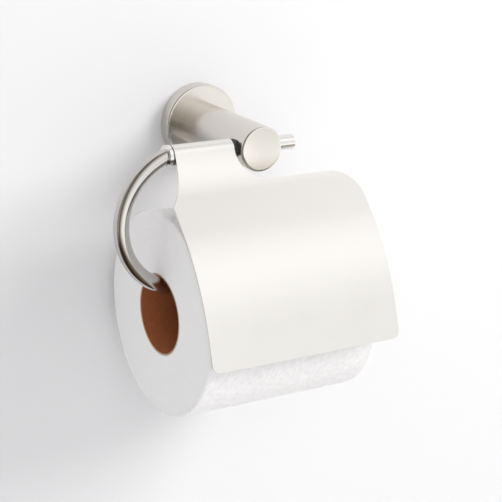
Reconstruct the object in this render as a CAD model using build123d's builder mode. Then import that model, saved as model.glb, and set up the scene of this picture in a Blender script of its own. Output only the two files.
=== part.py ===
from build123d import *
from math import acos, cos, degrees, radians, sin
import os

# Wall-mounted toilet paper holder with a lift-up sheet-metal hood, carrying one paper roll.
# Millimetres. The wall is the plane Y = 0 and the holder stands out towards -Y.
# X runs along the wall, Z is up, and the origin is the middle of the flange on the wall.

os.makedirs("parts", exist_ok=True)

# ---- driving dimensions -------------------------------------------------------------------

# round wall flange and the bracket hidden in it
flange_r = 21.5
flange_depth = 8.0
flange_wall = 2.5
flange_round = 1.2
bracket_r = 17.0
bracket_floor = 2.5
bracket_depth = 5.0
bracket_undercut = 1.0
bracket_rim = 2.2

# fasteners
wall_screw_pitch = 21.0
wall_screw_r = 1.75
wall_screw_head_r = 3.4
wall_screw_sink = 1.6
wall_screw_length = 30.0
wall_screw_neck_r = 2.0
wall_hole_gap = 0.3
cross_slot_length = 3.4
cross_slot_width = 0.8
cross_slot_depth = 1.1
grub_r = 2.0
grub_point = 0.6
grub_hex_r = 1.1
grub_hex_depth = 1.8
flange_grub_recess = 0.3
post_grub_recess = 0.8
post_screw_r = 3.0
post_screw_head_r = 5.2
post_screw_head = 2.2
post_screw_head_round = 0.7
post_screw_grip = 11.0
post_screw_hex_r = 2.3
post_screw_hex_depth = 1.6
tapped_spare = 1.0
thread_gap = 0.05

# post that stands out from the wall
post_r = 12.0
post_end = 71.0
post_round = 1.6
post_dome = 0.8
cross_hole_gap = 0.03

# round rods: the crossbar through the post, and the arm that holds the roll
rod_r = 4.0
bar_y = -61.5
bar_right = 23.6
bar_right_round = 0.7
arm_bend_r = 36.2
arm_left = -75.84
arm_drop = 70.7
arm_end = 50.5
arm_collar_r = 5.6
arm_collar_width = 2.4
arm_collar_chamfer = 0.6
cap_r = 5.5
cap_width = 3.5
cap_outer_round = 1.2
cap_inner_round = 0.5

# sheet-metal hood that hangs on the crossbar and lies on the roll
sheet = 1.2
curl_gap = 0.08
curl_trim = 0.36
hood_left = -57.2
hood_right = 53.8
neck_left = -48.6
neck_right = -14.4
neck_straight = 5.0
neck_flare_r = 34.0
leave_angle = 70.0
neck_angle = 46.0
skirt_angle = 72.0
neck_sweep_r = 55.0
neck_flat = 20.0
crown_r = 115.0
skirt_flat = 18.0
curl_end_angle = -125.0
scallop_r = 17.4
scallop_x = 3.0
shoulder_drop = 18.4
shoulder_r = 16.0
lower_corner_r = 4.0
kink_r = 3.0
washer_r = 5.3
washer = 0.6
washer_gap = 0.1
spacer_r = 5.0

# paper roll and the cardboard tube it is wound on
roll_r = 54.6
roll_left = -53.8
roll_right = 48.0
core_r = 21.6
core_wall = 0.9
roll_z = -83.8
roll_fit = 0.05
roll_rim_round = 1.0

# ---- wall bracket -------------------------------------------------------------------------
# Shallow die-cast dish screwed to the wall. Its edge is undercut, so that the set screw
# pulls the flange back against the wall.

with BuildPart() as wall_bracket:
    with BuildSketch(Plane.XY):
        with BuildLine():
            Polyline(
                (0, 0),
                (bracket_r - bracket_undercut, 0),
                (bracket_r, -bracket_depth),
                (bracket_r - bracket_rim, -bracket_depth),
                (bracket_r - bracket_rim, -bracket_floor),
                (0, -bracket_floor),
                close=True,
            )
        make_face()
    revolve(axis=Axis.Y)
    with BuildSketch(Plane.XZ):
        with GridLocations(0, wall_screw_pitch, 1, 2):
            Circle(wall_screw_r + wall_hole_gap)
    extrude(amount=bracket_depth, mode=Mode.SUBTRACT)
    with Locations(Plane.XZ.offset(bracket_floor)):
        with GridLocations(0, wall_screw_pitch, 1, 2):
            Cone(
                bottom_radius=wall_screw_r + wall_hole_gap,
                top_radius=wall_screw_head_r + wall_hole_gap / 2,
                height=wall_screw_sink,
                align=(Align.CENTER, Align.CENTER, Align.MAX),
                mode=Mode.SUBTRACT,
            )
wall_bracket.part.label = "wall_bracket"
export_step(wall_bracket.part, "parts/wall_bracket.step")

# ---- wall screws --------------------------------------------------------------------------
# Two countersunk screws through the bracket. A slightly tapered neck runs under each head to the
# bracket's back, and the shank stands out from there into its plug in the wall.

with BuildPart() as wall_screws:
    with Locations(Plane.XZ.offset(bracket_floor)):
        with GridLocations(0, wall_screw_pitch, 1, 2):
            Cone(
                bottom_radius=wall_screw_r,
                top_radius=wall_screw_head_r,
                height=wall_screw_sink,
                align=(Align.CENTER, Align.CENTER, Align.MAX),
            )
            Cone(
                bottom_radius=wall_screw_r,
                top_radius=wall_screw_neck_r,
                height=bracket_floor,
                align=(Align.CENTER, Align.CENTER, Align.MAX),
            )
            Cylinder(
                wall_screw_r,
                wall_screw_length,
                align=(Align.CENTER, Align.CENTER, Align.MAX),
            )
    with BuildSketch(Plane.XZ.offset(bracket_floor)):
        with GridLocations(0, wall_screw_pitch, 1, 2):
            Rectangle(cross_slot_length, cross_slot_width)
            Rectangle(cross_slot_width, cross_slot_length)
    extrude(amount=-cross_slot_depth, mode=Mode.SUBTRACT)
wall_screws.part.label = "wall_screws"
export_step(wall_screws.part, "parts/wall_screws.step")

# ---- flange -------------------------------------------------------------------------------
# Turned cup that covers the bracket. A set screw goes through its rim from below.

flange_inner_r = flange_r - flange_wall
with BuildPart() as flange:
    with BuildSketch(Plane.XY):
        with BuildLine():
            Polyline(
                (post_screw_r + thread_gap, -flange_depth),
                (flange_r, -flange_depth),
                (flange_r, 0),
                (flange_inner_r, 0),
                (flange_inner_r, flange_wall - flange_depth),
                (post_screw_r + thread_gap, flange_wall - flange_depth),
                close=True,
            )
        make_face()
    revolve(axis=Axis.Y)
    front_circles = flange.edges().filter_by(GeomType.CIRCLE).group_by(Axis.Y)[0]
    fillet(front_circles.sort_by(SortBy.RADIUS)[-1], flange_round)
    with BuildSketch(Plane.XY.offset(-flange_r)):
        with Locations((0, -bracket_depth / 2)):
            Circle(grub_r + thread_gap)
    extrude(amount=2 * flange_wall, mode=Mode.SUBTRACT)
flange.part.label = "flange"
export_step(flange.part, "parts/flange.step")

# ---- socket set screws --------------------------------------------------------------------
# Pointed grub screws put in from below: one holds the flange on the bracket's undercut edge,
# the other locks the crossbar in the post.

bracket_edge = -(bracket_r - bracket_undercut / 2 + wall_hole_gap)
grub_places = {
    "flange_set_screw": (flange_grub_recess - flange_r, bracket_edge, -bracket_depth / 2),
    "crossbar_set_screw": (post_grub_recess - post_r, -rod_r - thread_gap, bar_y),
}
for grub_name, (grub_foot, grub_tip, grub_y) in grub_places.items():
    with BuildPart() as grub:
        with BuildSketch(Plane.XY.offset(grub_foot)):
            with Locations((0, grub_y)):
                Circle(grub_r)
        extrude(amount=grub_tip - grub_foot)
        chamfer(grub.edges().filter_by(GeomType.CIRCLE).sort_by(Axis.Z)[-1], grub_point)
        with BuildSketch(Plane.XY.offset(grub_foot)):
            with Locations((0, grub_y)):
                RegularPolygon(grub_hex_r, 6)
        extrude(amount=grub_hex_depth, mode=Mode.SUBTRACT)
    grub.part.label = grub_name
    export_step(grub.part, f"parts/{grub_name}.step")

# ---- post ---------------------------------------------------------------------------------
# Solid round post on the front of the flange, with a slightly domed and rounded end.

with BuildPart() as post:
    with BuildSketch(Plane.XY):
        with BuildLine():
            Line((0, -flange_depth), (post_r, -flange_depth))
            Line((post_r, -flange_depth), (post_r, post_dome - post_end))
            ThreePointArc(
                (post_r, post_dome - post_end),
                (post_r / 2, post_dome / 4 - post_end),
                (0, -post_end),
            )
            Line((0, -post_end), (0, -flange_depth))
        make_face()
    revolve(axis=Axis.Y)
    full_circles = post.edges().filter_by(lambda edge: edge.is_closed)
    fillet(full_circles.sort_by(Axis.Y)[0], post_round)
    with BuildSketch(Plane.YZ.offset(-post_r)):
        with Locations((bar_y, 0)):
            Circle(rod_r + cross_hole_gap)
    extrude(amount=2 * post_r, mode=Mode.SUBTRACT)
    with BuildSketch(Plane.XZ.offset(flange_depth)):
        Circle(post_screw_r + thread_gap)
    extrude(amount=post_screw_grip + tapped_spare, mode=Mode.SUBTRACT)
    with BuildSketch(Plane.XY.offset(-post_r)):
        with Locations((0, bar_y)):
            Circle(grub_r + thread_gap)
    extrude(amount=post_r, mode=Mode.SUBTRACT)
post.part.label = "post"
export_step(post.part, "parts/post.step")

# ---- post screw ---------------------------------------------------------------------------
# Pan-head screw from inside the flange that pulls the post against it.

head_face = flange_depth - flange_wall
with BuildPart() as post_screw:
    with BuildSketch(Plane.XZ.offset(head_face - post_screw_head)):
        Circle(post_screw_head_r)
    extrude(amount=post_screw_head)
    fillet(post_screw.edges().filter_by(GeomType.CIRCLE).sort_by(Axis.Y)[-1], post_screw_head_round)
    with BuildSketch(Plane.XZ.offset(head_face)):
        Circle(post_screw_r)
    extrude(amount=flange_wall + post_screw_grip)
    with BuildSketch(Plane.XZ.offset(head_face - post_screw_head)):
        RegularPolygon(post_screw_hex_r, 6)
    extrude(amount=post_screw_hex_depth, mode=Mode.SUBTRACT)
post_screw.part.label = "post_screw"
export_step(post_screw.part, "parts/post_screw.step")

# ---- crossbar -----------------------------------------------------------------------------
# Round rod through the post: a short stub on the right, the hood's hinge pin on the left.

collar_right = neck_left - washer - 2 * washer_gap
bar_left = collar_right - arm_collar_width
with BuildPart() as crossbar:
    with BuildSketch(Plane.YZ.offset(bar_left)):
        with Locations((bar_y, 0)):
            Circle(rod_r)
    extrude(amount=bar_right - bar_left)
    fillet(crossbar.edges().filter_by(GeomType.CIRCLE).sort_by(Axis.X)[-1], bar_right_round)
crossbar.part.label = "crossbar"
export_step(crossbar.part, "parts/crossbar.step")

# ---- arm ----------------------------------------------------------------------------------
# One rod bent into a C: it leaves the crossbar's left end, swings out and down, and comes
# back to the right as the straight bar that the roll hangs on.

arm_plane = Plane.XZ.offset(-bar_y)
bend_centre_z = arm_bend_r - arm_drop
bend_centre_x = arm_left + arm_bend_r
bend_start = degrees(acos((bar_left - bend_centre_x) / arm_bend_r))
overrun = 4.0
with BuildPart() as arm:
    with BuildLine(arm_plane) as arm_path:
        bend = CenterArc(
            (bend_centre_x, bend_centre_z),
            arm_bend_r,
            bend_start - overrun,
            270 - bend_start + overrun,
        )
        Line(bend @ 1, (arm_end, -arm_drop))
    with BuildSketch(Plane(origin=arm_path.line @ 0, z_dir=arm_path.line % 0)):
        Circle(rod_r)
    sweep()
    with BuildSketch(arm_plane):
        with Locations((bar_left, 0)):
            Rectangle(3 * rod_r, 4 * rod_r, align=(Align.MIN, Align.CENTER))
    extrude(amount=2 * rod_r, both=True, mode=Mode.SUBTRACT)
arm.part.label = "arm"
export_step(arm.part, "parts/arm.step")

# ---- arm collar ---------------------------------------------------------------------------
# Bright ring pressed on the crossbar's end, where the arm meets it. It also stops the hood.

with BuildPart() as arm_collar:
    with BuildSketch(Plane.YZ.offset(collar_right)):
        with Locations((bar_y, 0)):
            Circle(arm_collar_r)
    extrude(amount=-arm_collar_width)
    chamfer(arm_collar.edges().filter_by(GeomType.CIRCLE).sort_by(Axis.X)[0], arm_collar_chamfer)
    with BuildSketch(Plane.YZ.offset(collar_right)):
        with Locations((bar_y, 0)):
            Circle(rod_r)
    extrude(amount=-arm_collar_width, mode=Mode.SUBTRACT)
arm_collar.part.label = "arm_collar"
export_step(arm_collar.part, "parts/arm_collar.step")

# ---- bar end cap --------------------------------------------------------------------------
# Button on the free end of the lower bar that keeps the roll from sliding off by itself.

with BuildPart() as bar_end_cap:
    with BuildSketch(Plane.YZ.offset(arm_end)):
        with Locations((bar_y, -arm_drop)):
            Circle(cap_r)
    extrude(amount=cap_width)
    fillet(bar_end_cap.edges().filter_by(GeomType.CIRCLE).sort_by(Axis.X)[-1], cap_outer_round)
    fillet(bar_end_cap.edges().filter_by(GeomType.CIRCLE).sort_by(Axis.X)[0], cap_inner_round)
bar_end_cap.part.label = "bar_end_cap"
export_step(bar_end_cap.part, "parts/bar_end_cap.step")

# ---- hood washer and spacer ---------------------------------------------------------------
# Black nylon rings on the crossbar, one each side of the hood's curl.

ring_spans = {
    "hood_washer": (neck_left - washer_gap - washer, neck_left - washer_gap, washer_r),
    "hood_spacer": (neck_right + washer_gap, -post_r - thread_gap, spacer_r),
}
for ring_name, (ring_start, ring_stop, ring_r) in ring_spans.items():
    with BuildPart() as ring:
        with BuildSketch(Plane.YZ.offset(ring_start)):
            with Locations((bar_y, 0)):
                Circle(ring_r)
                Circle(rod_r + thread_gap, mode=Mode.SUBTRACT)
        extrude(amount=ring_stop - ring_start)
    ring.part.label = ring_name
    export_step(ring.part, f"parts/{ring_name}.step")

# ---- hood ---------------------------------------------------------------------------------
# Thin metal sheet. Its narrow neck is rolled round the crossbar, runs down to the front,
# crowns over the roll and ends as a nearly upright skirt. The side profile is extruded
# along the crossbar, then trimmed to the outline that the neck shows face on.

curl_r = rod_r + curl_gap
leave_y = bar_y - curl_r * sin(radians(leave_angle))
leave_z = curl_r * cos(radians(leave_angle))
view_angle = radians((leave_angle + neck_angle) / 2)
neck_plane = Plane(
    origin=(0, leave_y, leave_z),
    x_dir=(1, 0, 0),
    z_dir=(0, -sin(view_angle), cos(view_angle)),
)
flare_turn = degrees(acos(1 - (neck_left - hood_left) / neck_flare_r))
reach = 200.0
curl_clear = 20.0
with BuildPart() as hood:
    with BuildSketch(Plane.YZ.offset(hood_left)):
        with BuildLine():
            curl = CenterArc(
                (bar_y, 0), curl_r, curl_end_angle, leave_angle + 90 - curl_end_angle
            )
            sweep_out = JernArc(curl @ 1, curl % 1, neck_sweep_r, neck_angle - leave_angle)
            flat = Line(sweep_out @ 1, sweep_out @ 1 + neck_flat * (sweep_out % 1))
            crown = JernArc(flat @ 1, flat % 1, crown_r, skirt_angle - neck_angle)
            Line(crown @ 1, crown @ 1 + skirt_flat * (crown % 1))
            offset(amount=sheet, side=Side.RIGHT)
        make_face()
    extrude(amount=hood_right - hood_left)
    with BuildSketch(neck_plane) as outline:
        with BuildLine():
            neck_side = Line((neck_left, curl_clear), (neck_left, -neck_straight))
            flare = JernArc(neck_side @ 1, (0, -1), neck_flare_r, -flare_turn)
            Line(flare @ 1, (hood_left, -reach))
            Line((hood_left, -reach), (hood_right, -reach))
            side = Line((hood_right, -reach), (hood_right, -shoulder_drop - shoulder_r))
            corner = JernArc(side @ 1, (0, 1), shoulder_r, 90)
            shoulder = Line(corner @ 1, (scallop_x, -shoulder_drop))
            scallop = JernArc(shoulder @ 1, (-1, 0), scallop_r, -90)
            inner_side = Line(scallop @ 1, ((scallop @ 1).X, curl_clear))
            Line(inner_side @ 1, neck_side @ 0)
        make_face()
        fillet(outline.vertices().group_by(Axis.X)[0].sort_by(Axis.Y)[-1], kink_r)
    extrude(amount=reach, both=True, mode=Mode.INTERSECT)
    for trim_left, trim_right in ((hood_left, neck_left), (neck_right, hood_right)):
        with BuildSketch(Plane.YZ.offset(trim_left)):
            with Locations((bar_y, 0)):
                Circle(curl_r + sheet + curl_trim)
        extrude(amount=trim_right - trim_left, mode=Mode.SUBTRACT)
    across_sheet = hood.edges().filter_by(lambda edge: abs(edge.length - sheet) < sheet / 50)
    fillet(across_sheet.group_by(Axis.Z)[0], lower_corner_r)
hood.part.label = "hood"
export_step(hood.part, "parts/hood.step")

# ---- paper roll ---------------------------------------------------------------------------
# Cardboard tube and the paper wound on it. The tube rests on top of the lower bar.

with BuildPart() as cardboard_core:
    with BuildSketch(Plane.YZ.offset(roll_left)):
        with Locations((bar_y, roll_z)):
            Circle(core_r)
            Circle(core_r - core_wall, mode=Mode.SUBTRACT)
    extrude(amount=roll_right - roll_left)
cardboard_core.part.label = "cardboard_core"
export_step(cardboard_core.part, "parts/cardboard_core.step")

with BuildPart() as paper_roll:
    with BuildSketch(Plane.YZ.offset(roll_left)):
        with Locations((bar_y, roll_z)):
            Circle(roll_r)
            Circle(core_r + roll_fit, mode=Mode.SUBTRACT)
    extrude(amount=roll_right - roll_left)
    outer_rims = paper_roll.edges().filter_by(GeomType.CIRCLE).group_by(SortBy.RADIUS)[-1]
    fillet(outer_rims, roll_rim_round)
paper_roll.part.label = "paper_roll"
export_step(paper_roll.part, "parts/paper_roll.step")
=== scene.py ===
from math import acos, atan2, cos, pi, radians, sin

import bmesh
import bpy
from mathutils import Matrix, Vector


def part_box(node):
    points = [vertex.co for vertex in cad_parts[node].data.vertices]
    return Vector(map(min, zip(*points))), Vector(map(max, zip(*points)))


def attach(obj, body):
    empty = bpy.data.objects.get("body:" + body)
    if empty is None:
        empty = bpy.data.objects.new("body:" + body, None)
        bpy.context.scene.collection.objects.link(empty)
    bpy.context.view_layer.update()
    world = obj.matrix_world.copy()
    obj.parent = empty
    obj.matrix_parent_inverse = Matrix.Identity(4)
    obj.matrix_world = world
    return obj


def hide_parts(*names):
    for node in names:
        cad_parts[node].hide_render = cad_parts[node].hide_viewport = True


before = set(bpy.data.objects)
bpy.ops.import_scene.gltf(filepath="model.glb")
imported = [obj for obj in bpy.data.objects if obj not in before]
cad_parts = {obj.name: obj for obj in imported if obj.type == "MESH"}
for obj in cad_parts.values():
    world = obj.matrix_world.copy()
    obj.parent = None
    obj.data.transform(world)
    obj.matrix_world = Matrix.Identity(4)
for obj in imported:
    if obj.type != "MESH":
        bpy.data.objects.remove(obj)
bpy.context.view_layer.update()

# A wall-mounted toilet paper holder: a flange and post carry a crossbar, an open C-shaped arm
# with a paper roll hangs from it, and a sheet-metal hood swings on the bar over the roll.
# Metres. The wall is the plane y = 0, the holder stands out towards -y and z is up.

# ---- camera -------------------------------------------------------------------------------
# A long lens in front of the wall, a little above the holder and well to its left. The view is
# rolled slightly, as from a hand-held camera.

camera_place = Vector((-0.4062, -0.7219, 0.1935))
camera_heading = radians(31.628)
camera_tilt = radians(17.91)
camera_roll = radians(1.763)
camera_data = bpy.data.cameras.new("camera")
camera_data.lens = 110.8
camera_data.sensor_width = 36.0
camera_data.clip_start = 0.05
camera_data.clip_end = 20.0
camera = bpy.data.objects.new("camera", camera_data)
bpy.context.scene.collection.objects.link(camera)
camera.matrix_world = (
    Matrix.Translation(camera_place)
    @ Matrix.Rotation(-camera_heading, 4, "Z")
    @ Matrix.Rotation(pi / 2 - camera_tilt, 4, "X")
    @ Matrix.Rotation(camera_roll, 4, "Z")
)
bpy.context.scene.camera = camera
bpy.context.scene.view_settings.view_transform = "Standard"

# ---- wall, floor and light ----------------------------------------------------------------
# Plain pale plaster behind the holder and a plain floor that fades out and isn't mirrored in metal.
# The wall can be seen through from its back, so that the holder shows from there too. One big
# soft light stands high on the right and a weaker one on the left of a pale room.

X, Y, Z = Vector((1, 0, 0)), Vector((0, 1, 0)), Vector((0, 0, 1))
wall_gap = 0.0001
floor_height = -1.0
wall_width = 6.0
floor_clear_from, floor_gone_by = 1.5, 2.4


def deselect():
    if bpy.context.mode != "OBJECT":
        bpy.ops.object.mode_set(mode="OBJECT")
    bpy.ops.object.select_all(action="DESELECT")


def add_node(nodes, kind, values=None, **settings):
    """Adds one shader node, with these settings and these values on its input sockets."""
    made = nodes.new("ShaderNode" + kind)
    for setting, value in settings.items():
        setattr(made, setting, value)
    for socket, value in (values or {}).items():
        made.inputs[socket].default_value = value
    return made


def new_material(name, **values):
    """A material with its Principled shader's plain values set, and its nodes, links and shader."""
    material = bpy.data.materials.new(name)
    material.use_nodes = True
    nodes, links = material.node_tree.nodes, material.node_tree.links
    shader = nodes["Principled BSDF"]
    for socket, value in values.items():
        shader.inputs[socket.replace("_", " ")].default_value = value
    return material, nodes, links, shader


def speckled(name, dark, light, scale, roughness):
    """A dull material of two near tones in soft patches."""
    material, nodes, links, shader = new_material(name, Roughness=roughness)
    place = add_node(nodes, "TexCoord")
    grain = add_node(nodes, "TexNoise", {"Scale": scale, "Detail": 4.0})
    tint = add_node(nodes, "Mix", {"A": (*dark, 1), "B": (*light, 1)}, data_type="RGBA")
    links.new(place.outputs["Object"], grain.inputs["Vector"])
    links.new(grain.outputs["Fac"], tint.inputs["Factor"])
    links.new(tint.outputs["Result"], shader.inputs["Base Color"])
    return material, nodes, links, place


deselect()
bpy.ops.mesh.primitive_plane_add(
    size=wall_width, location=(0, -wall_gap, floor_height + wall_width / 2), rotation=(pi / 2, 0, 0)
)
wall = bpy.context.object
wall.name = "wall"
plaster, nodes, links, _ = speckled("plaster", (0.755, 0.755, 0.765), (0.765, 0.765, 0.775), 9.0, 0.8)
wall.data.materials.append(plaster)
side = add_node(nodes, "NewGeometry")
see_through = add_node(nodes, "BsdfTransparent")
front_or_back = add_node(nodes, "MixShader")
links.new(side.outputs["Backfacing"], front_or_back.inputs["Fac"])
links.new(nodes["Principled BSDF"].outputs["BSDF"], front_or_back.inputs[1])
links.new(see_through.outputs["BSDF"], front_or_back.inputs[2])
links.new(front_or_back.outputs["Shader"], nodes["Material Output"].inputs["Surface"])

deselect()
bpy.ops.mesh.primitive_plane_add(size=2 * floor_gone_by, location=(0, 0, floor_height))
floor = bpy.context.object
floor.name = "floor"
pale_floor, nodes, links, place = speckled("pale_floor", (0.83, 0.83, 0.83), (0.85, 0.85, 0.85), 6.0, 0.7)
floor.data.materials.append(pale_floor)
distance = add_node(nodes, "VectorMath", operation="LENGTH")
fade = add_node(
    nodes,
    "MapRange",
    {"From Min": floor_clear_from, "From Max": floor_gone_by},
    interpolation_type="SMOOTHSTEP",
)
ray = add_node(nodes, "LightPath")
clear = add_node(nodes, "Math", operation="MAXIMUM")
see_through = add_node(nodes, "BsdfTransparent")
near_or_far = add_node(nodes, "MixShader")
links.new(place.outputs["Object"], distance.inputs[0])
links.new(distance.outputs["Value"], fade.inputs["Value"])
links.new(fade.outputs["Result"], clear.inputs[0])
links.new(ray.outputs["Is Glossy Ray"], clear.inputs[1])
links.new(clear.outputs["Value"], near_or_far.inputs["Fac"])
links.new(nodes["Principled BSDF"].outputs["BSDF"], near_or_far.inputs[1])
links.new(see_through.outputs["BSDF"], near_or_far.inputs[2])
links.new(near_or_far.outputs["Shader"], nodes["Material Output"].inputs["Surface"])

look_at = Vector((-0.005, -0.06, -0.06))
softboxes = {
    "key_light": (Vector((1.35, -1.05, 1.0)), 1.0, 31.0, (1.0, 0.985, 0.965)),
    "fill_light": (Vector((-0.6, -1.7, 0.6)), 1.4, 6.5, (0.97, 0.985, 1.0)),
}
for name, (place, size, power, colour) in softboxes.items():
    lamp = bpy.data.lights.new(name, "AREA")
    lamp.size = size
    lamp.energy = power
    lamp.color = colour
    light = bpy.data.objects.new(name, lamp)
    light.visible_glossy = False
    bpy.context.scene.collection.objects.link(light)
    facing = (place - look_at).to_track_quat("Z", "Y").to_matrix().to_4x4()
    light.matrix_world = Matrix.Translation(place) @ facing

# The room as the metal mirrors it, from its dim left end past a dark doorway to its bright right
# side. Its soft light is even, and seen directly it is a plain pale backdrop.
room_tones = {
    0.0: (0.40, 0.385, 0.37),
    0.42: (0.36, 0.33, 0.30),
    0.45: (0.06, 0.04, 0.03),
    0.51: (0.06, 0.04, 0.03),
    0.55: (0.46, 0.41, 0.36),
    0.65: (0.50, 0.45, 0.40),
    0.72: (0.94, 0.92, 0.90),
    0.80: (1.12, 1.12, 1.11),
    0.88: (1.32, 1.32, 1.32),
    0.93: (1.26, 1.26, 1.26),
    0.98: (1.00, 1.00, 0.99),
    1.0: (0.97, 0.97, 0.96),
}
# how much brighter or dimmer it is at each height, from the dark floor straight down to the ceiling
height_tones = {
    0.0: (0.20, 0.15, 0.11),
    0.22: (0.20, 0.15, 0.11),
    0.30: (0.95, 0.93, 0.90),
    0.34: (1.30, 1.30, 1.29),
    0.5: (1.06, 1.06, 1.06),
    0.6: (1.0, 1.0, 1.0),
    1.0: (1.0, 1.0, 1.0),
}
room_light = (0.68, 0.675, 0.68)
backdrop = (0.93, 0.93, 0.93)
world = bpy.data.worlds.new("room")
bpy.context.scene.world = world
world.use_nodes = True
nodes, links = world.node_tree.nodes, world.node_tree.links
toward = add_node(nodes, "TexCoord")
left_to_right = add_node(
    nodes, "VectorMath", {1: Vector((0.64, -0.77, 0)).normalized()}, operation="DOT_PRODUCT"
)
half = add_node(nodes, "Math", {1: 0.5, 2: 0.5}, operation="MULTIPLY_ADD")
tones = add_node(nodes, "ValToRGB")
height = add_node(nodes, "SeparateXYZ")
half_height = add_node(nodes, "Math", {1: 0.5, 2: 0.5}, operation="MULTIPLY_ADD")
low_shade = add_node(nodes, "ValToRGB")


def set_stops(ramp, colours):
    stops = ramp.color_ramp.elements
    for at, colour in colours.items():
        stop = stops[0] if at == 0.0 else stops.new(at) if at < 1.0 else stops[-1]
        stop.color = (*colour, 1)


set_stops(tones, room_tones)
set_stops(low_shade, height_tones)
dimmed = add_node(nodes, "VectorMath", operation="MULTIPLY")
ray = add_node(nodes, "LightPath")
soft = add_node(nodes, "Mix", {"B": (*room_light, 1)}, data_type="RGBA")
seen = add_node(nodes, "Mix", {"B": (*backdrop, 1)}, data_type="RGBA")
links.new(toward.outputs["Generated"], left_to_right.inputs[0])
links.new(left_to_right.outputs["Value"], half.inputs[0])
links.new(half.outputs["Value"], tones.inputs["Fac"])
links.new(toward.outputs["Generated"], height.inputs["Vector"])
links.new(height.outputs["Z"], half_height.inputs[0])
links.new(half_height.outputs["Value"], low_shade.inputs["Fac"])
links.new(tones.outputs["Color"], dimmed.inputs[0])
links.new(low_shade.outputs["Color"], dimmed.inputs[1])
links.new(ray.outputs["Is Camera Ray"], seen.inputs["Factor"])
links.new(ray.outputs["Is Diffuse Ray"], soft.inputs["Factor"])
links.new(dimmed.outputs["Vector"], soft.inputs["A"])
links.new(soft.outputs["Result"], seen.inputs["A"])
links.new(seen.outputs["Result"], nodes["Background"].inputs["Color"])

# ---- wall bracket and its screws ----------------------------------------------------------
# A die-cast zinc cup with a waisted rim that the flange slips over, held flat on the wall by two
# countersunk steel screws. Both are left as they come from the tool, unplated and a little rough.


def node_group(name, inputs, outputs):
    group = bpy.data.node_groups.new(name, "ShaderNodeTree")
    for socket, kind, value in inputs:
        made = group.interface.new_socket(socket, in_out="INPUT", socket_type=kind)
        if value is not None:
            made.default_value = value
    for socket, kind in outputs:
        group.interface.new_socket(socket, in_out="OUTPUT", socket_type=kind)
    return group, group.nodes.new("NodeGroupInput"), group.nodes.new("NodeGroupOutput")


# fine scratches along Lines and broad clouds over Place, as a tone, a roughness and a height
brushing, given, gives = node_group(
    "fine_brushing",
    [
        ("Lines", "NodeSocketVector", None),
        ("Place", "NodeSocketVector", None),
        ("Dark Tone", "NodeSocketColor", (0.6, 0.57, 0.53, 1)),
        ("Light Tone", "NodeSocketColor", (0.68, 0.65, 0.61, 1)),
        ("Least Roughness", "NodeSocketFloat", 0.25),
        ("Most Roughness", "NodeSocketFloat", 0.4),
    ],
    [("Tone", "NodeSocketColor"), ("Roughness", "NodeSocketFloat"), ("Height", "NodeSocketFloat")],
)
nodes, links = brushing.nodes, brushing.links
scratches = add_node(nodes, "TexNoise", {"Scale": 1.0, "Detail": 4.0, "Roughness": 0.65})
clouds = add_node(nodes, "TexNoise", {"Scale": 55.0, "Detail": 3.0})
half_clouds = add_node(nodes, "Math", {1: 0.55}, operation="MULTIPLY")
blend = add_node(nodes, "Math", {1: 0.45}, operation="MULTIPLY_ADD")
tone = add_node(nodes, "Mix", data_type="RGBA")
rough = add_node(nodes, "MapRange", {"From Min": 0.25, "From Max": 0.75})
links.new(given.outputs["Lines"], scratches.inputs["Vector"])
links.new(given.outputs["Place"], clouds.inputs["Vector"])
links.new(clouds.outputs["Fac"], half_clouds.inputs[0])
links.new(scratches.outputs["Fac"], blend.inputs[0])
links.new(half_clouds.outputs["Value"], blend.inputs[2])
links.new(blend.outputs["Value"], tone.inputs["Factor"])
links.new(given.outputs["Dark Tone"], tone.inputs["A"])
links.new(given.outputs["Light Tone"], tone.inputs["B"])
links.new(blend.outputs["Value"], rough.inputs["Value"])
links.new(given.outputs["Least Roughness"], rough.inputs["To Min"])
links.new(given.outputs["Most Roughness"], rough.inputs["To Max"])
links.new(tone.outputs["Result"], gives.inputs["Tone"])
links.new(rough.outputs["Result"], gives.inputs["Roughness"])
links.new(scratches.outputs["Fac"], gives.inputs["Height"])


def metal(name, dark, light, roughness, marks, bump_depth):
    """Metal with fine marks. marks adds its nodes and gives the vector that the marks follow."""
    material, nodes, links, shader = new_material(name, Metallic=1.0)
    place = add_node(nodes, "TexCoord")
    values = {
        "Dark Tone": (*dark, 1),
        "Light Tone": (*light, 1),
        "Least Roughness": roughness[0],
        "Most Roughness": roughness[1],
    }
    surface = add_node(nodes, "Group", values, node_tree=brushing)
    bump = add_node(nodes, "Bump", {"Strength": 0.25, "Distance": bump_depth})
    links.new(marks(nodes, links, place.outputs["Object"]), surface.inputs["Lines"])
    links.new(place.outputs["Object"], surface.inputs["Place"])
    links.new(surface.outputs["Height"], bump.inputs["Height"])
    links.new(surface.outputs["Tone"], shader.inputs["Base Color"])
    links.new(surface.outputs["Roughness"], shader.inputs["Roughness"])
    links.new(bump.outputs["Normal"], shader.inputs["Normal"])
    return material


def stretched(lines_per_metre):
    """Marks drawn out along the axis that has the fewest lines per metre."""

    def marks(nodes, links, vector):
        stretch = add_node(nodes, "Mapping", {"Scale": lines_per_metre})
        links.new(vector, stretch.inputs["Vector"])
        return stretch.outputs["Vector"]

    return marks


def finish_with(material, *node_names):
    for node_name in node_names:
        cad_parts[node_name].material_slots[0].material = material


raw_zinc = metal(
    "raw_zinc", (0.40, 0.41, 0.42), (0.52, 0.53, 0.54), (0.45, 0.6), stretched((400, 400, 400)), 2e-5
)
screw_steel = metal(
    "screw_steel", (0.50, 0.50, 0.50), (0.62, 0.62, 0.62), (0.25, 0.35), stretched((900, 900, 900)), 5e-6
)
finish_with(raw_zinc, "wall_bracket")
finish_with(screw_steel, "wall_screws")

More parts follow.
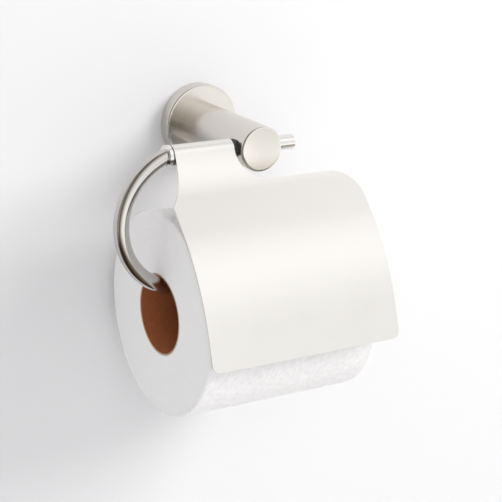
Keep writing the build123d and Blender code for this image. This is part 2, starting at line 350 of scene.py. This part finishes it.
# ---- flange and its set screw -------------------------------------------------------------
# A turned brass cup, plated in satin nickel, that hides the bracket. The brushing runs round it
# in fine rings. A set screw from below grips the bracket's waist.

# the vector whose noise is drawn out in rings round an axis along y through the group's own origin
turning, given, gives = node_group(
    "turned_lines",
    [("Vector", "NodeSocketVector", None), ("Lines per Metre", "NodeSocketFloat", 2600.0)],
    [("Lines", "NodeSocketVector")],
)
nodes, links = turning.nodes, turning.links
parts = add_node(nodes, "SeparateXYZ")
across = add_node(nodes, "CombineXYZ")
radius = add_node(nodes, "VectorMath", operation="LENGTH")
rings = add_node(nodes, "CombineXYZ")
drift = add_node(nodes, "Math", {1: 0.02}, operation="MULTIPLY")
scaled = add_node(nodes, "VectorMath", operation="SCALE")
links.new(given.outputs["Vector"], parts.inputs["Vector"])
links.new(parts.outputs["X"], across.inputs["X"])
links.new(parts.outputs["Z"], across.inputs["Z"])
links.new(across.outputs["Vector"], radius.inputs[0])
links.new(radius.outputs["Value"], rings.inputs["X"])
links.new(parts.outputs["Y"], rings.inputs["Y"])
links.new(parts.outputs["X"], drift.inputs[0])
links.new(drift.outputs["Value"], rings.inputs["Z"])
links.new(rings.outputs["Vector"], scaled.inputs["Vector"])
links.new(given.outputs["Lines per Metre"], scaled.inputs["Scale"])
links.new(scaled.outputs["Vector"], gives.inputs["Lines"])


def turned(centre, turn=(0, 0, 0)):
    """Marks in rings round the y axis through centre, or round another axis after a turn."""

    def marks(nodes, links, vector):
        centred = add_node(
            nodes, "Mapping", {"Location": centre, "Rotation": turn}, vector_type="TEXTURE"
        )
        group = add_node(nodes, "Group", node_tree=turning)
        links.new(vector, centred.inputs["Vector"])
        links.new(centred.outputs["Vector"], group.inputs["Vector"])
        return group.outputs["Lines"]

    return marks


nickel_dark, nickel_light = (0.655, 0.625, 0.58), (0.73, 0.70, 0.655)
turned_nickel = metal("turned_nickel", nickel_dark, nickel_light, (0.17, 0.25), turned((0, 0, 0)), 2e-6)
finish_with(turned_nickel, "flange")
finish_with(screw_steel, "flange_set_screw")

# ---- post and its screws ------------------------------------------------------------------
# A solid turned bar that stands out from the flange. A screw through the flange's back pulls it
# tight, and a set screw from below holds the crossbar in its cross hole. Plated as the flange.

finish_with(turned_nickel, "post")
finish_with(screw_steel, "post_screw", "crossbar_set_screw")

# ---- crossbar and arm collar --------------------------------------------------------------
# A polished nickel-plated rod through the post, the hinge pin of the hood. At its left end a
# bright collar is pressed on, against the end of the arm.

bar_low, bar_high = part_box("crossbar")
bar = (bar_low + bar_high) / 2
bar.x = 0
polished_nickel = metal(
    "polished_nickel",
    (0.76, 0.75, 0.74),
    (0.81, 0.80, 0.79),
    (0.06, 0.12),
    turned(bar, (0, 0, pi / 2)),
    1e-6,
)
finish_with(polished_nickel, "crossbar", "arm_collar")

# ---- arm ----------------------------------------------------------------------------------
# A rod bent to an open C, whose lower end the roll slips on to. It was brushed along its length
# before it was bent and plated, so its lines follow the bend.

arm_low, arm_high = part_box("arm")
arm_bend = Vector((arm_low.x + (arm_high.z - arm_low.z) / 2, 0, (arm_low.z + arm_high.z) / 2))
along_arm, across_arm = 25.0, 3400.0


def follow_the_bend(nodes, links, vector):
    """Distance from the bend's centre and y, for lines that run along the arm."""
    centred = add_node(nodes, "VectorMath", {1: arm_bend}, operation="SUBTRACT")
    parts = add_node(nodes, "SeparateXYZ")
    left_only = add_node(nodes, "Math", {1: 0.0}, operation="MINIMUM")
    reach = add_node(nodes, "CombineXYZ")
    ring = add_node(nodes, "VectorMath", operation="LENGTH")
    lines = add_node(nodes, "CombineXYZ")
    stretch = add_node(
        nodes, "VectorMath", {1: (across_arm, across_arm, along_arm)}, operation="MULTIPLY"
    )
    links.new(vector, centred.inputs[0])
    links.new(centred.outputs["Vector"], parts.inputs["Vector"])
    links.new(parts.outputs["X"], left_only.inputs[0])
    links.new(left_only.outputs["Value"], reach.inputs["X"])
    links.new(parts.outputs["Z"], reach.inputs["Z"])
    links.new(reach.outputs["Vector"], ring.inputs[0])
    links.new(ring.outputs["Value"], lines.inputs["X"])
    links.new(parts.outputs["Y"], lines.inputs["Y"])
    links.new(parts.outputs["X"], lines.inputs["Z"])
    links.new(lines.outputs["Vector"], stretch.inputs[0])
    return stretch.outputs["Vector"]


# The arm's nickel is a darker copy of the plating on the flange and post: painted shade for the darker
# reflections along the arm.
shaded_arm_nickel = metal(
    "shaded_arm_nickel", (0.52, 0.50, 0.475), (0.60, 0.58, 0.555), (0.12, 0.19), follow_the_bend, 2e-6
)
finish_with(shaded_arm_nickel, "arm")

# ---- bar end cap --------------------------------------------------------------------------
# A small turned button on the free end of the arm's lower leg, which closes the rod's cut end.
# Plated in the same nickel as the flange and post.

cap_nickel = metal(
    "cap_nickel", nickel_dark, nickel_light, (0.20, 0.28), turned(bar, (0, 0, pi / 2)), 2e-6
)
finish_with(cap_nickel, "bar_end_cap")

# ---- hood washer and spacer ---------------------------------------------------------------
# Two black nylon rings on the crossbar, one on each side of the hood's curl, so that the hood
# turns without rubbing on metal. Their black is also painted shade for the dark gaps by the curl.

# black nylon, whose black is also painted shade for the dark gaps on both sides of the hood's curl
black_nylon = speckled("black_nylon", (0.020, 0.020, 0.021), (0.034, 0.034, 0.035), 900.0, 0.5)[0]
finish_with(black_nylon, "hood_washer", "hood_spacer")

# ---- hood ---------------------------------------------------------------------------------
# One piece of 1.2 mm steel sheet, brushed from side to side and plated. Its neck is rolled round
# the crossbar, and the rest is bent in long curves to crown over the roll. It is blanked to its
# outline, and its edges are rounded off.

hood_low, hood_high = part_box("hood")
hood_left, hood_right = hood_low.x, hood_high.x
sheet = 0.0012
curl_r = 0.00408
curl_free_end = radians(-125)
leave_angle, neck_angle, skirt_angle = radians(70), radians(46), radians(72)
neck_sweep_r, neck_flat = 0.055, 0.020
crown_r, skirt_flat = 0.115, 0.018
neck_left, neck_right = -0.0486, -0.0144
neck_straight, neck_flare_r = 0.005, 0.034
shoulder_drop, shoulder_r = 0.0184, 0.016
scallop_x, scallop_r = 0.003, 0.0174
lower_corner_r, kink_cut = 0.004, 0.0011
edge_break = 0.0004
trim_play = 0.00002
above, beyond = 0.02, 0.2
curl_steps, sweep_steps, crown_steps = 72, 20, 40
flare_steps, shoulder_steps, scallop_steps = 24, 28, 36
hair = 1e-6


def start_line(name, place):
    """One vertex at place, selected in edit mode. line_on and arc_on then draw on from it."""
    deselect()
    bpy.ops.mesh.primitive_plane_add(size=0.001, location=place)
    piece = bpy.context.object
    piece.name = piece.data.name = name
    bpy.ops.object.transform_apply()
    bpy.ops.object.mode_set(mode="EDIT")
    bpy.ops.mesh.select_mode(type="VERT")
    bpy.ops.mesh.select_all(action="SELECT")
    bpy.ops.mesh.merge(type="CENTER")
    return piece


def line_on(step):
    bpy.ops.mesh.extrude_region_move(TRANSFORM_OT_translate={"value": step})


def arc_on(centre, axis, angle, steps):
    """Sweeps what is selected round the axis. A spin turns clockwise, so its angle is turned back."""
    bpy.ops.mesh.spin(steps=steps, angle=-angle, center=centre, axis=axis)


def choose(piece, kind, test):
    """Selects the vertices, edges or faces of piece that pass the test, and nothing else."""
    bpy.ops.mesh.select_mode(type=kind)
    bpy.ops.mesh.select_all(action="DESELECT")
    mesh = bmesh.from_edit_mesh(piece.data)
    for part in {"VERT": mesh.verts, "EDGE": mesh.edges, "FACE": mesh.faces}[kind]:
        part.select_set(test(part))
    bmesh.update_edit_mesh(piece.data)


def middle(part):
    return sum((v.co for v in part.verts), Vector()) / len(part.verts)


def apply_modifier(piece, kind, **settings):
    """Adds one modifier with these settings and applies it at once."""
    if bpy.context.mode != "OBJECT":
        bpy.ops.object.mode_set(mode="OBJECT")
    bpy.context.view_layer.objects.active = piece
    modifier = piece.modifiers.new(kind.lower(), kind)
    for setting, value in settings.items():
        setattr(modifier, setting, value)
    bpy.ops.object.modifier_apply(modifier=modifier.name)


def in_profile(angle):
    return cos(angle) * Y + sin(angle) * Z


# the profile at the left side: the curl, the neck's hollow sweep and flat, the crown and the skirt
hood = start_line("hood_sheet", bar + hood_left * X + curl_r * in_profile(curl_free_end))
arc_on(bar, X, leave_angle + pi / 2 - curl_free_end, curl_steps)
sweep_centre = bar + hood_left * X + (curl_r + neck_sweep_r) * in_profile(leave_angle + pi / 2)
arc_on(sweep_centre, X, neck_angle - leave_angle, sweep_steps)
line_on(-neck_flat * in_profile(neck_angle))
crown_start = sweep_centre - neck_sweep_r * in_profile(neck_angle + pi / 2)
crown_start -= neck_flat * in_profile(neck_angle)
crown_centre = crown_start - crown_r * in_profile(neck_angle + pi / 2)
arc_on(crown_centre, X, skirt_angle - neck_angle, crown_steps)
line_on(-skirt_flat * in_profile(skirt_angle))
bpy.ops.mesh.select_all(action="SELECT")
for span in (
    neck_left - trim_play - hood_left,
    neck_right - neck_left + 2 * trim_play,
    hood_right - neck_right - trim_play,
):
    line_on(span * X)


def beside_the_curl(face):
    on_bar = all((v.co - v.co.x * X - bar).length < 1.01 * curl_r for v in face.verts)
    return on_bar and not neck_left - sheet < middle(face).x < neck_right + sheet


choose(hood, "FACE", beside_the_curl)
bpy.ops.mesh.delete(type="FACE")
bpy.ops.mesh.select_all(action="SELECT")
bpy.ops.mesh.normals_make_consistent(inside=False)
bpy.ops.object.mode_set(mode="OBJECT")
lowest_face = min(hood.data.polygons, key=lambda face: face.center.z)
if lowest_face.normal.y > 0:
    bpy.ops.object.mode_set(mode="EDIT")
    bpy.ops.mesh.flip_normals()
apply_modifier(hood, "SOLIDIFY", thickness=sheet, offset=1.0, use_even_offset=True)

# the outline, drawn on the slope between the neck's two angles and cut square through the sheet
blank_angle = (leave_angle + neck_angle) / 2
blank_down = -in_profile(blank_angle)
blank_out = in_profile(blank_angle + pi / 2)
neck_top = bar + curl_r * in_profile(leave_angle + pi / 2)


def on_blank(x, down):
    return neck_top + x * X + down * blank_down


outline = start_line("outline", on_blank(neck_left, -above))
line_on((above + neck_straight) * blank_down)
flare_turn = acos(1 - (neck_left - hood_left) / neck_flare_r)
flare_end = neck_straight + neck_flare_r * sin(flare_turn)
arc_on(on_blank(neck_left - neck_flare_r, neck_straight), blank_out, -flare_turn, flare_steps)
line_on((beyond - flare_end) * blank_down)
line_on((hood_right - hood_left) * X)
line_on((shoulder_drop + shoulder_r - beyond) * blank_down)
arc_on(on_blank(hood_right - shoulder_r, shoulder_drop + shoulder_r), blank_out, pi / 2, shoulder_steps)
line_on((scallop_x - hood_right + shoulder_r) * X)
arc_on(on_blank(scallop_x, shoulder_drop - scallop_r), blank_out, -pi / 2, scallop_steps)
line_on((scallop_r - shoulder_drop - above) * blank_down)
line_on((neck_left - scallop_x + scallop_r) * X)
bpy.ops.mesh.select_all(action="SELECT")
bpy.ops.mesh.remove_doubles(threshold=hair)
bpy.ops.mesh.edge_face_add()
bpy.ops.transform.translate(value=-beyond * blank_out)
line_on(2 * beyond * blank_out)
bpy.ops.mesh.select_all(action="SELECT")
bpy.ops.mesh.normals_make_consistent(inside=False)
apply_modifier(hood, "BOOLEAN", operation="INTERSECT", object=outline, solver="EXACT")
bpy.data.objects.remove(outline)

bpy.ops.object.mode_set(mode="EDIT")
bpy.ops.mesh.select_all(action="SELECT")
bpy.ops.mesh.remove_doubles(threshold=2 * hair)
skirt_end = min(v.co.z for v in bmesh.from_edit_mesh(hood.data).verts)


def at_lower_corner(edge):
    through = abs(edge.calc_length() - sheet) < sheet / 20
    through = through and abs((edge.verts[0].co - edge.verts[1].co).x) < hair
    at_a_side = min(abs(middle(edge).x - x) for x in (hood_left, hood_right)) < 10 * hair
    return through and at_a_side and middle(edge).z < skirt_end + sheet


choose(hood, "EDGE", at_lower_corner)
bpy.ops.mesh.bevel(offset=lower_corner_r, segments=10, affect="EDGES", clamp_overlap=False)


def at_kink(edge):
    on_side = abs(middle(edge).x - hood_left) < 10 * hair and len(edge.link_faces) == 2
    if not on_side or middle(edge).z < skirt_end + 5 * lower_corner_r:
        return False
    return radians(20) < edge.calc_face_angle() < radians(60)


choose(hood, "EDGE", at_kink)
bpy.ops.mesh.bevel(offset=kink_cut, segments=6, affect="EDGES", clamp_overlap=False)
apply_modifier(
    hood,
    "BEVEL",
    width=edge_break,
    segments=3,
    limit_method="ANGLE",
    angle_limit=radians(40),
    harden_normals=True,
)
sheet_nickel = metal(
    "sheet_nickel",
    (0.775, 0.755, 0.73),
    (0.83, 0.815, 0.79),
    (0.27, 0.36),
    stretched((30, 2400, 2400)),
    2e-6,
)
hood.data.materials.append(sheet_nickel)
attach(hood, "hood")
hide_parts("hood")

# ---- cardboard core -----------------------------------------------------------------------
# Two plies of brown board wound into a tube. The inner ply runs in a spiral, so that its edges
# meet in one long slanted seam. The cut ends are paler than the skin.

core_low, core_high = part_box("cardboard_core")
core_r = (core_high.z - core_low.z) / 2
core_middle = (core_low + core_high) / 2
ply = 0.00045
strip_lead, seam_width = 0.088, 0.0005
cut_end_depth, cut_end_break = 0.0003, 0.0001
core_steps = 144

deselect()
bpy.ops.mesh.primitive_circle_add(
    vertices=core_steps,
    radius=core_r,
    location=(core_low.x, core_middle.y, core_middle.z),
    rotation=(0, pi / 2, 0),
)
core = bpy.context.object
core.name = core.data.name = "core_board"
bpy.ops.object.transform_apply()
bpy.ops.object.mode_set(mode="EDIT")
bpy.ops.mesh.select_mode(type="VERT")
bpy.ops.mesh.select_all(action="SELECT")
line_on((core_high.x - core_low.x) * X)
bpy.ops.mesh.select_all(action="SELECT")
bpy.ops.mesh.normals_make_consistent(inside=False)
apply_modifier(core, "SOLIDIFY", thickness=ply, offset=-1.0, use_even_offset=True)
apply_modifier(
    core, "BEVEL", width=cut_end_break, segments=2, limit_method="ANGLE", angle_limit=radians(50)
)

inner_ply = start_line("core_inner_ply", core_middle + (core_r - ply) * Z)
bpy.ops.transform.translate(value=(core_low.x - core_middle.x - strip_lead) * X)
line_on((strip_lead - seam_width) * X)
bpy.ops.object.mode_set(mode="OBJECT")
bpy.context.scene.cursor.location = core_middle
bpy.ops.object.origin_set(type="ORIGIN_CURSOR")
apply_modifier(
    inner_ply,
    "SCREW",
    axis="X",
    screw_offset=strip_lead,
    iterations=4,
    steps=core_steps,
    render_steps=core_steps,
    use_smooth_shade=True,
)
bpy.ops.object.transform_apply()
for end, outwards in ((core_low.x, -X), (core_high.x, X)):
    bpy.ops.object.mode_set(mode="EDIT")
    bpy.ops.mesh.select_all(action="SELECT")
    bpy.ops.mesh.bisect(plane_co=(end, 0, 0), plane_no=outwards, clear_outer=True)
bpy.ops.mesh.select_all(action="SELECT")
bpy.ops.mesh.normals_make_consistent(inside=False)
apply_modifier(inner_ply, "SOLIDIFY", thickness=ply, offset=-1.0, use_even_offset=True)

# a mask for a piece that lies along x: 1 on its two end faces, falling to 0 within Depth of them
at_ends, given, gives = node_group(
    "at_both_ends",
    [
        ("Vector", "NodeSocketVector", None),
        ("Middle", "NodeSocketFloat", 0.0),
        ("Half Length", "NodeSocketFloat", 0.05),
        ("Depth", "NodeSocketFloat", 0.0003),
    ],
    [("Mask", "NodeSocketFloat")],
)
nodes, links = at_ends.nodes, at_ends.links
parts = add_node(nodes, "SeparateXYZ")
offset = add_node(nodes, "Math", operation="SUBTRACT")
away = add_node(nodes, "Math", operation="ABSOLUTE")
inner = add_node(nodes, "Math", operation="SUBTRACT")
mask = add_node(nodes, "MapRange")
links.new(given.outputs["Vector"], parts.inputs["Vector"])
links.new(parts.outputs["X"], offset.inputs[0])
links.new(given.outputs["Middle"], offset.inputs[1])
links.new(offset.outputs["Value"], away.inputs[0])
links.new(given.outputs["Half Length"], inner.inputs[0])
links.new(given.outputs["Depth"], inner.inputs[1])
links.new(away.outputs["Value"], mask.inputs["Value"])
links.new(inner.outputs["Value"], mask.inputs["From Min"])
links.new(given.outputs["Half Length"], mask.inputs["From Max"])
links.new(mask.outputs["Result"], gives.inputs["Mask"])


def end_mask(nodes, links, vector, low, high, depth):
    mask = add_node(nodes, "Group", node_tree=at_ends)
    mask.inputs["Middle"].default_value = (low.x + high.x) / 2
    mask.inputs["Half Length"].default_value = (high.x - low.x) / 2
    mask.inputs["Depth"].default_value = depth
    links.new(vector, mask.inputs["Vector"])
    return mask.outputs["Mask"]


cardboard, nodes, links, shader = new_material("cardboard", Roughness=0.9)
place = add_node(nodes, "TexCoord")
fibre_run = add_node(nodes, "Mapping", {"Rotation": (0, 0, radians(38)), "Scale": (350, 1700, 1700)})
fibres = add_node(nodes, "TexNoise", {"Scale": 1.0, "Detail": 5.0, "Roughness": 0.7})
stains = add_node(nodes, "TexNoise", {"Scale": 420.0, "Detail": 3.0, "Roughness": 0.7})
fibre_tone = add_node(
    nodes, "Mix", {"A": (0.15, 0.036, 0.009, 1), "B": (0.42, 0.13, 0.040, 1)}, data_type="RGBA"
)
stained = add_node(
    nodes, "Mix", {"A": (0.17, 0.042, 0.011, 1), "B": (0.36, 0.115, 0.036, 1)}, data_type="RGBA"
)
skin_tone = add_node(nodes, "Mix", {"Factor": 0.5}, data_type="RGBA")
cut_tone = add_node(nodes, "Mix", {"B": (0.50, 0.36, 0.24, 1)}, data_type="RGBA")
bump = add_node(nodes, "Bump", {"Strength": 0.5, "Distance": 5e-5})
links.new(place.outputs["Object"], fibre_run.inputs["Vector"])
links.new(fibre_run.outputs["Vector"], fibres.inputs["Vector"])
links.new(place.outputs["Object"], stains.inputs["Vector"])
links.new(fibres.outputs["Fac"], fibre_tone.inputs["Factor"])
links.new(stains.outputs["Fac"], stained.inputs["Factor"])
links.new(fibre_tone.outputs["Result"], skin_tone.inputs["A"])
links.new(stained.outputs["Result"], skin_tone.inputs["B"])
links.new(skin_tone.outputs["Result"], cut_tone.inputs["A"])
cut = end_mask(nodes, links, place.outputs["Object"], core_low, core_high, cut_end_depth)
links.new(cut, cut_tone.inputs["Factor"])
links.new(cut_tone.outputs["Result"], shader.inputs["Base Color"])
links.new(fibres.outputs["Fac"], bump.inputs["Height"])
links.new(bump.outputs["Normal"], shader.inputs["Normal"])
for piece in (core, inner_ply):
    piece.data.materials.append(cardboard)
    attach(piece, "roll")
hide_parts("cardboard_core")

# ---- paper roll ---------------------------------------------------------------------------
# Soft embossed tissue wound tight on the core. The outside is crinkled in slanting creases, its
# last sheet ends in a small step at the lower back, and the ends show the edges of the layers.

roll_low, roll_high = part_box("paper_roll")
roll_r = (roll_high.z - roll_low.z) / 2
roll_middle = (roll_low + roll_high) / 2
around, along, end_rings = 480, 132, 26
skin_room = 0.0010
rim_round = 0.0012
core_play, layer_end_depth = 0.00005, 0.0008
last_sheet_step = 0.0003
layer_ripple, ripple_turn = 0.00004, 2.4
crease_depth, emboss_depth = 0.00100, 0.00030
crease_run, crease_width, crease_slant = 0.010, 0.0030, radians(-20)
emboss_size = 0.0024
crease_fade, rim_crease = 0.005, 0.3
sheet_end_angle = radians(-40)

deselect()
bpy.ops.mesh.primitive_circle_add(
    vertices=around,
    radius=roll_r - skin_room,
    location=(roll_low.x, roll_middle.y, roll_middle.z),
    rotation=(0, pi / 2, 0),
)
roll = bpy.context.object
roll.name = roll.data.name = "tissue_roll"
bpy.ops.object.transform_apply()
bpy.ops.object.mode_set(mode="EDIT")
bpy.ops.mesh.select_mode(type="VERT")
bpy.ops.mesh.select_all(action="SELECT")
line_on((roll_high.x - roll_low.x) * X)


def ring_ratio(step):
    bore = core_r + core_play
    wall = roll_r - skin_room - bore
    return (bore + wall * (1 - step / end_rings)) / (bore + wall * (1 - (step - 1) / end_rings))


for end, inwards in ((roll_low.x, X), (roll_high.x, -X)):
    end_middle = Vector((end, roll_middle.y, roll_middle.z))
    choose(roll, "EDGE", lambda edge: edge.is_boundary and abs(middle(edge).x - end) < hair)
    for step in range(1, end_rings + 1):
        ripple = cos(ripple_turn * (step - 1)) - cos(ripple_turn * step)
        line_on(layer_ripple * ripple * inwards)
        ratio = ring_ratio(step)
        bpy.ops.transform.resize(value=(1, ratio, ratio), center_override=end_middle)
choose(roll, "EDGE", lambda edge: edge.is_boundary)
bpy.ops.mesh.bridge_edge_loops()


def from_axis(point):
    return (point - point.x * X - roll_middle.y * Y - roll_middle.z * Z).length


def runs_along_the_skin(edge):
    full_length = abs(edge.verts[0].co.x - edge.verts[1].co.x) > (roll_high.x - roll_low.x) / 2
    return full_length and from_axis(middle(edge)) > roll_r / 2


def on_the_rim(edge):
    if from_axis(middle(edge)) < roll_r - 1.2 * skin_room:
        return False
    at_end = all(min(abs(v.co.x - x) for x in (roll_low.x, roll_high.x)) < hair for v in edge.verts)
    return at_end and abs(edge.verts[0].co.x - edge.verts[1].co.x) < hair


choose(roll, "EDGE", runs_along_the_skin)
bpy.ops.mesh.subdivide(number_cuts=along - 1)
choose(roll, "EDGE", on_the_rim)
bpy.ops.mesh.bevel(offset=rim_round, segments=3, affect="EDGES")
bpy.ops.mesh.select_all(action="SELECT")
bpy.ops.mesh.normals_make_consistent(inside=False)
bpy.ops.object.mode_set(mode="OBJECT")


def turn_from_sheet_end(point):
    """How far round the roll a point is from the last sheet's end, in turns, from 0 up to 1."""
    angle = atan2(point.z - roll_middle.z, point.y - roll_middle.y) - sheet_end_angle
    return (angle / (2 * pi) + 10 * hair) % 1.0


creased = roll.vertex_groups.new(name="creased")
wound = roll.vertex_groups.new(name="wound")
for vertex in roll.data.vertices:
    if from_axis(vertex.co) > roll_r - skin_room - rim_round - 10 * hair:
        inset = min(vertex.co.x - roll_low.x, roll_high.x - vertex.co.x) / crease_fade
        creased.add([vertex.index], rim_crease + (1 - rim_crease) * min(inset, 1.0), "REPLACE")
        wound.add([vertex.index], turn_from_sheet_end(vertex.co), "REPLACE")

wrap = roll.data.uv_layers.new(name="wrap")
girth = 2 * pi * roll_r
for face in roll.data.polygons:
    first = turn_from_sheet_end(face.center)
    for corner in face.loop_indices:
        place = roll.data.vertices[roll.data.loops[corner].vertex_index].co
        turn = turn_from_sheet_end(place)
        turn -= round(turn - first)
        run = turn * girth * cos(crease_slant) + (place.x - roll_low.x) * sin(crease_slant)
        width = (place.x - roll_low.x) * cos(crease_slant) - turn * girth * sin(crease_slant)
        wrap.data[corner].uv = (run / crease_run, width / crease_width)


def noise_texture(name, size, depth, kind):
    noise = bpy.data.textures.new(name, "CLOUDS")
    noise.noise_scale = size
    noise.noise_depth = depth
    noise.noise_type = kind
    return noise


apply_modifier(
    roll,
    "DISPLACE",
    texture=noise_texture("creases", 1.0, 1, "HARD_NOISE"),
    texture_coords="UV",
    uv_layer="wrap",
    vertex_group="creased",
    mid_level=0.5,
    strength=crease_depth,
)
apply_modifier(
    roll,
    "DISPLACE",
    texture=noise_texture("emboss", emboss_size, 0, "SOFT_NOISE"),
    texture_coords="LOCAL",
    vertex_group="creased",
    mid_level=0.5,
    strength=emboss_depth,
)
apply_modifier(roll, "DISPLACE", vertex_group="wound", mid_level=0.0, strength=last_sheet_step)

tissue, nodes, links, shader = new_material("tissue", Roughness=0.92)
shader.inputs["Sheen Weight"].default_value = 0.08
place = add_node(nodes, "TexCoord")
fluff = add_node(nodes, "TexNoise", {"Scale": 800.0, "Detail": 4.0, "Roughness": 0.7})
wrapped = add_node(nodes, "UVMap", uv_map="wrap")
streaks = add_node(nodes, "TexNoise", {"Scale": 2.0, "Detail": 3.0, "Roughness": 0.6})
# The skin is painted darker where the streak bump is low: painted shade in the grooves of the creases.
streak_groove_shade = add_node(nodes, "MapRange", {"From Min": 0.34, "From Max": 0.62})
skin_height = add_node(nodes, "Mix", {"Factor": 0.3})
faint_layers = add_node(nodes, "Math", {1: 0.3}, operation="MULTIPLY")
axis = add_node(
    nodes,
    "Mapping",
    {"Location": roll_middle, "Rotation": (0, 0, pi / 2)},
    vector_type="TEXTURE",
)
layers = add_node(nodes, "Group", node_tree=turning)
layers.inputs["Lines per Metre"].default_value = 2200.0
layer_edges = add_node(nodes, "TexNoise", {"Scale": 1.0, "Detail": 2.0})
cut = end_mask(nodes, links, place.outputs["Object"], roll_low, roll_high, layer_end_depth)
surface = add_node(nodes, "Mix")
# The tint runs from dark in the streak grooves to light on the streak ridges, as painted crease shade.
tint = add_node(
    nodes, "Mix", {"A": (0.85, 0.84, 0.838, 1), "B": (0.945, 0.94, 0.937, 1)}, data_type="RGBA"
)
cut_tint = add_node(
    nodes, "Mix", {"A": (0.84, 0.83, 0.828, 1), "B": (0.905, 0.90, 0.898, 1)}, data_type="RGBA"
)
paper = add_node(nodes, "Mix", data_type="RGBA")
bump = add_node(nodes, "Bump", {"Strength": 0.9, "Distance": 5.0e-4})
links.new(place.outputs["Object"], fluff.inputs["Vector"])
links.new(wrapped.outputs["UV"], streaks.inputs["Vector"])
links.new(streaks.outputs["Fac"], streak_groove_shade.inputs["Value"])
links.new(streaks.outputs["Fac"], skin_height.inputs["A"])
links.new(fluff.outputs["Fac"], skin_height.inputs["B"])
links.new(place.outputs["Object"], axis.inputs["Vector"])
links.new(axis.outputs["Vector"], layers.inputs["Vector"])
links.new(layers.outputs["Lines"], layer_edges.inputs["Vector"])
links.new(streak_groove_shade.outputs["Result"], tint.inputs["Factor"])
links.new(layer_edges.outputs["Fac"], cut_tint.inputs["Factor"])
links.new(cut, paper.inputs["Factor"])
links.new(tint.outputs["Result"], paper.inputs["A"])
links.new(cut_tint.outputs["Result"], paper.inputs["B"])
links.new(paper.outputs["Result"], shader.inputs["Base Color"])
links.new(cut, surface.inputs["Factor"])
links.new(skin_height.outputs["Result"], surface.inputs["A"])
links.new(layer_edges.outputs["Fac"], faint_layers.inputs[0])
links.new(faint_layers.outputs["Value"], surface.inputs["B"])
links.new(surface.outputs["Result"], bump.inputs["Height"])
links.new(bump.outputs["Normal"], shader.inputs["Normal"])
roll.data.materials.append(tissue)
deselect()
roll.select_set(True)
bpy.context.view_layer.objects.active = roll
bpy.ops.object.shade_smooth_by_angle(angle=radians(50))
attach(roll, "roll")
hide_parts("paper_roll")
